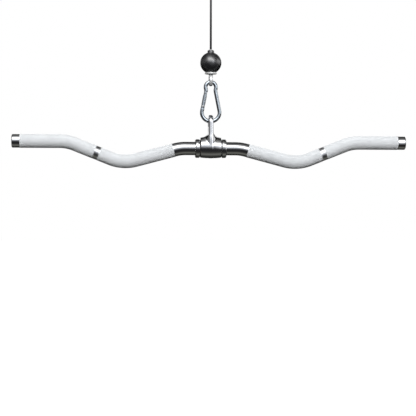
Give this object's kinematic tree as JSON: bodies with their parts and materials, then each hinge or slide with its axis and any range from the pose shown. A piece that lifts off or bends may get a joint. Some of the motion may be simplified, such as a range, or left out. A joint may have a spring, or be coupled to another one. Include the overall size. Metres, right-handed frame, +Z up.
{
  "type": "multi-grip biceps bar",
  "caption": "Bent chromed tube with knurled grips that spins in a swivel hanger, hung by a sprung snap hook from a cable with an eye terminal, a rubber ball stop and a top loop.",
  "frame": {"origin": "where the thimble in the cable's top loop bears on whatever holds the part up", "axes": "+Z up along the cable, +X along the bar towards its right end, and the side that the picture shows faces -Y"},
  "size_m": [0.822, 0.0442, 0.421],
  "materials": {
    "polished_chrome": "polished, with fine diamond knurling on the grips",
    "zinc_steel": "zinc plated, bluish and half bright",
    "plain_steel": "plain turned and pressed steel",
    "black_steel": "black oxide",
    "bearing_bronze": "sintered bronze, satin",
    "bearing_nylon": "black nylon",
    "black_rubber": "moulded rubber with a dull shine",
    "cable_coating": "smooth nylon sheath over steel strands"
  },
  "bodies": {
    "cable_stop": {"cable_terminal": "zinc_steel", "stop_washer": "plain_steel", "stop_ball": "black_rubber", "neck_bush": "plain_steel", "cable": "cable_coating", "cable_ferrule": "plain_steel", "thimble": "zinc_steel"},
    "snap_hook": {"snap_hook": "zinc_steel", "gate_rivet": "plain_steel"},
    "gate": {"gate": "zinc_steel", "gate_pin": "plain_steel", "gate_spring": "black_steel"},
    "gate_plunger": {"gate_plunger": "plain_steel"},
    "hanger": {"swivel_hanger": "polished_chrome", "left_bush": "bearing_bronze", "right_bush": "bearing_bronze"},
    "bar": {"bar_tube": "polished_chrome", "left_end_plug": "polished_chrome", "right_end_plug": "polished_chrome", "left_collar": "polished_chrome", "right_collar": "polished_chrome", "left_collar_screw": "black_steel", "right_collar_screw": "black_steel", "left_thrust_washer": "bearing_nylon", "right_thrust_washer": "bearing_nylon"}
  },
  "joints": [
    {"name": "hook_tilt", "type": "hinge", "parent": "cable_stop", "child": "snap_hook", "pos_m": [0, 0, -0.24525], "axis": [0, 1, 0], "range_deg": [-60, 60]},
    {"name": "gate_hinge", "type": "hinge", "parent": "snap_hook", "child": "gate", "pos_m": [-0.0164, 0, -0.28548], "axis": [0, 1, 0], "range_deg": [0, 26], "stiffness_Nm_per_rad": 0.12, "springref_deg": -28.65},
    {"name": "plunger_slide", "type": "slide", "parent": "gate", "child": "gate_plunger", "axis": [0.1942, 0, 0.981], "range_m": [0, 0.00095], "deforming": ["gate_spring"]},
    {"name": "hanger_swing", "type": "hinge", "parent": "snap_hook", "child": "hanger", "pos_m": [0, 0, -0.3164], "axis": [1, 0, 0], "range_deg": [-140, 140]},
    {"name": "bar_spin", "type": "hinge", "parent": "hanger", "child": "bar", "pos_m": [0, 0, -0.3731], "axis": [1, 0, 0], "continuous": true}
  ],
  "couplings": [
    {"joint": "plunger_slide", "follows": "gate_hinge", "m_per_rad": 0.0019833}
  ]
}
